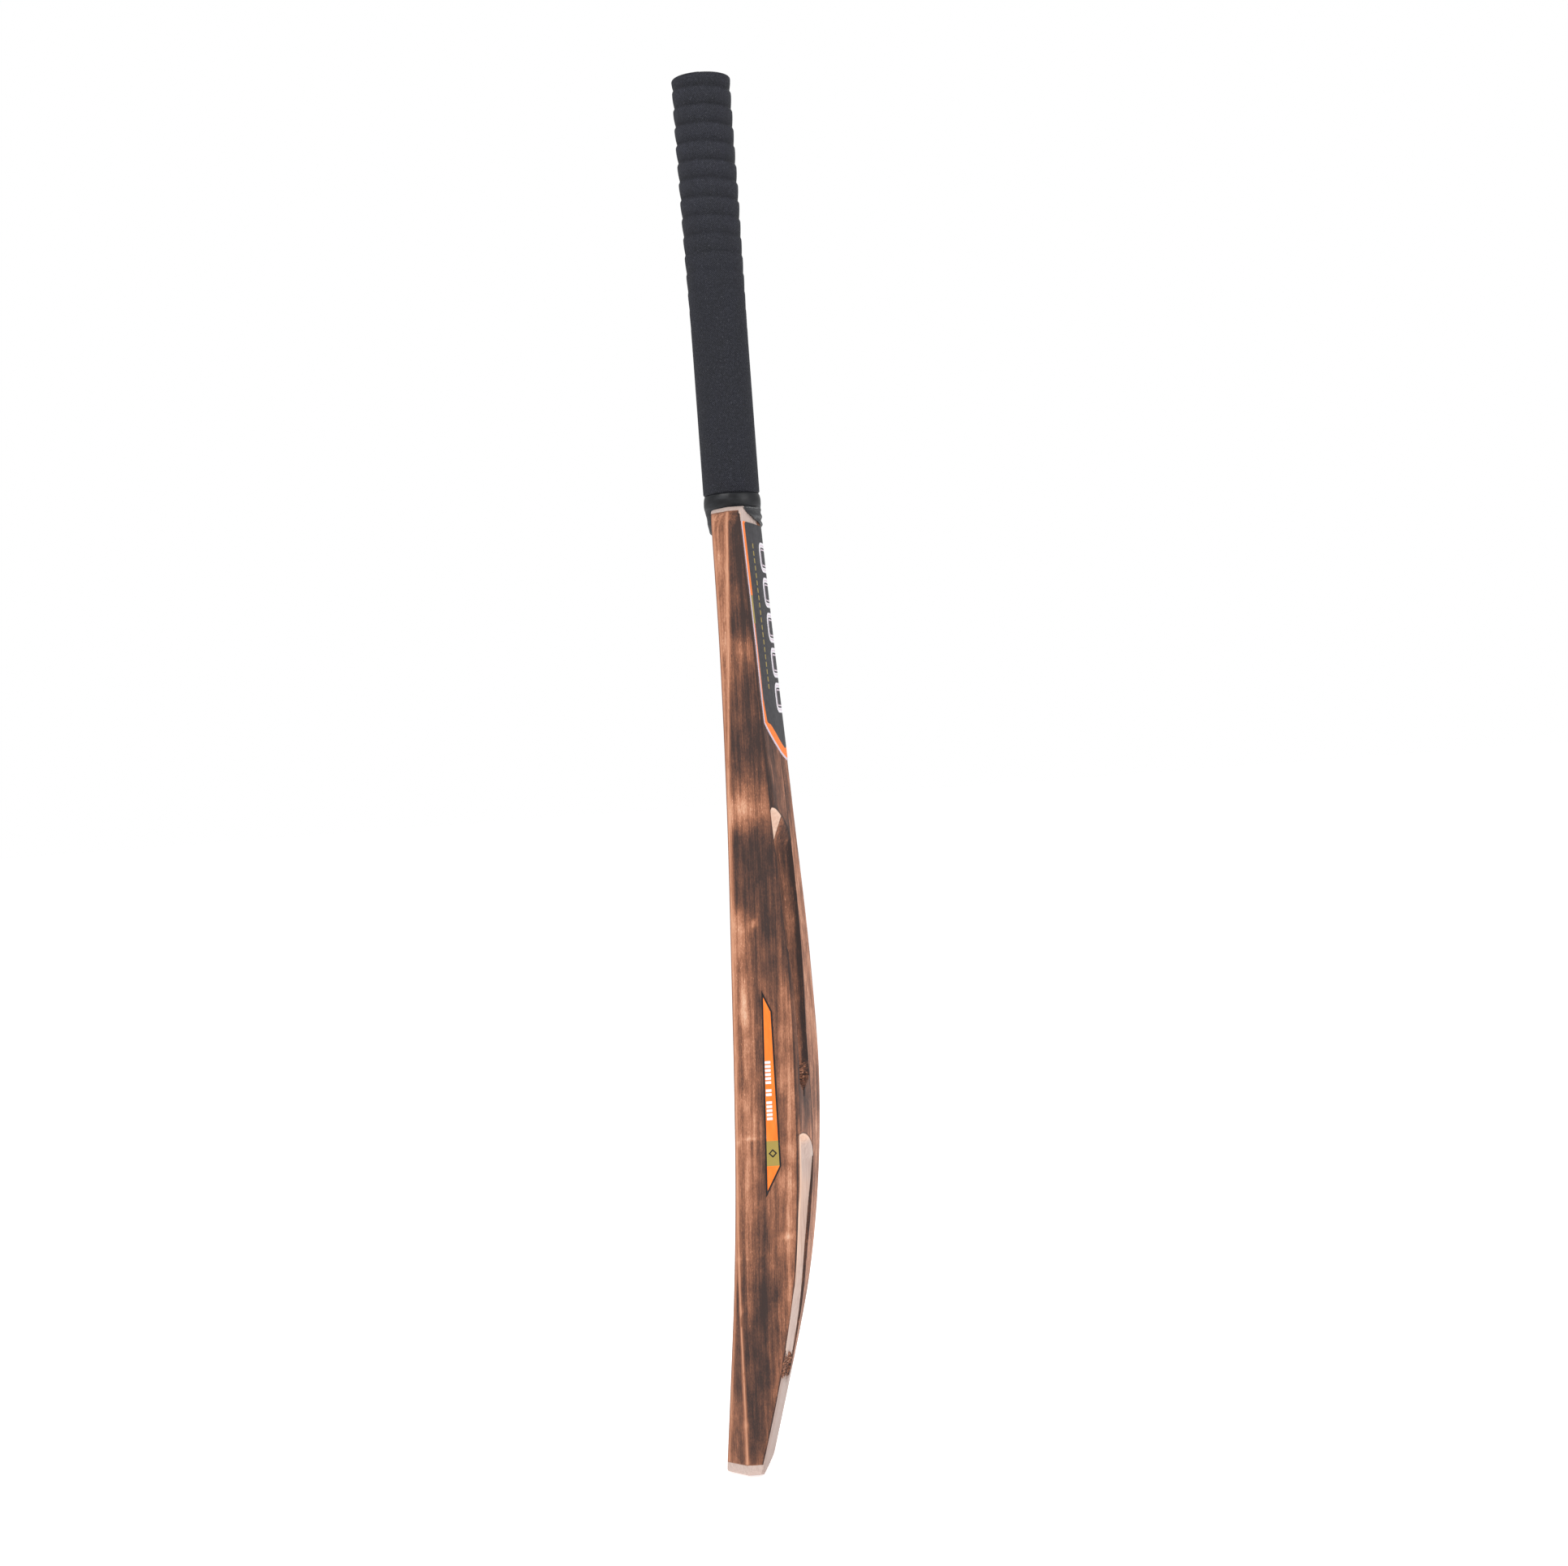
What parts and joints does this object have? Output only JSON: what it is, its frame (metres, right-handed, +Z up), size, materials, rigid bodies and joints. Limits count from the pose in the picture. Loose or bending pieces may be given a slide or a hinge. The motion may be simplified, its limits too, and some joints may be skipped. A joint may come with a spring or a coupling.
{
  "type": "cricket bat",
  "caption": "Cricket bat with a scorched, bowed willow blade, a spine with long scoops beside it, edge and back stickers, and a ribbed black rubber grip on a spliced cane handle.",
  "frame": {"origin": "middle of the flat toe, on the plane that the bat stands on", "axes": "+Z up the handle, +X across the blade to the right as seen from the face, +Y from the face towards the back"},
  "size_m": [0.1086, 0.0728, 0.8505],
  "materials": {
    "willow": "scorched and lightly worn, satin",
    "cane": "bare laminated cane",
    "spring_rubber": "matte",
    "twine": "waxed thread",
    "grip_rubber": "satin, finely textured",
    "tape": "glossy, wrinkled",
    "back_sticker": "printed film, black with an orange stripe",
    "edge_sticker": "printed film, orange with a black border"
  },
  "bodies": {
    "root": {"blade": "willow", "cane_left_front": "cane", "cane_left_middle": "cane", "cane_left_back": "cane", "cane_centre_front": "cane", "cane_centre_middle": "cane", "cane_centre_back": "cane", "cane_right_front": "cane", "cane_right_middle": "cane", "cane_right_back": "cane", "rubber_strip_left": "spring_rubber", "rubber_strip_right": "spring_rubber", "twine_binding": "twine", "rubber_grip": "grip_rubber", "collar_band": "tape", "shoulder_wrap": "tape", "back_label": "back_sticker", "edge_label_right": "edge_sticker", "edge_label_left": "edge_sticker"}
  },
  "joints": []
}
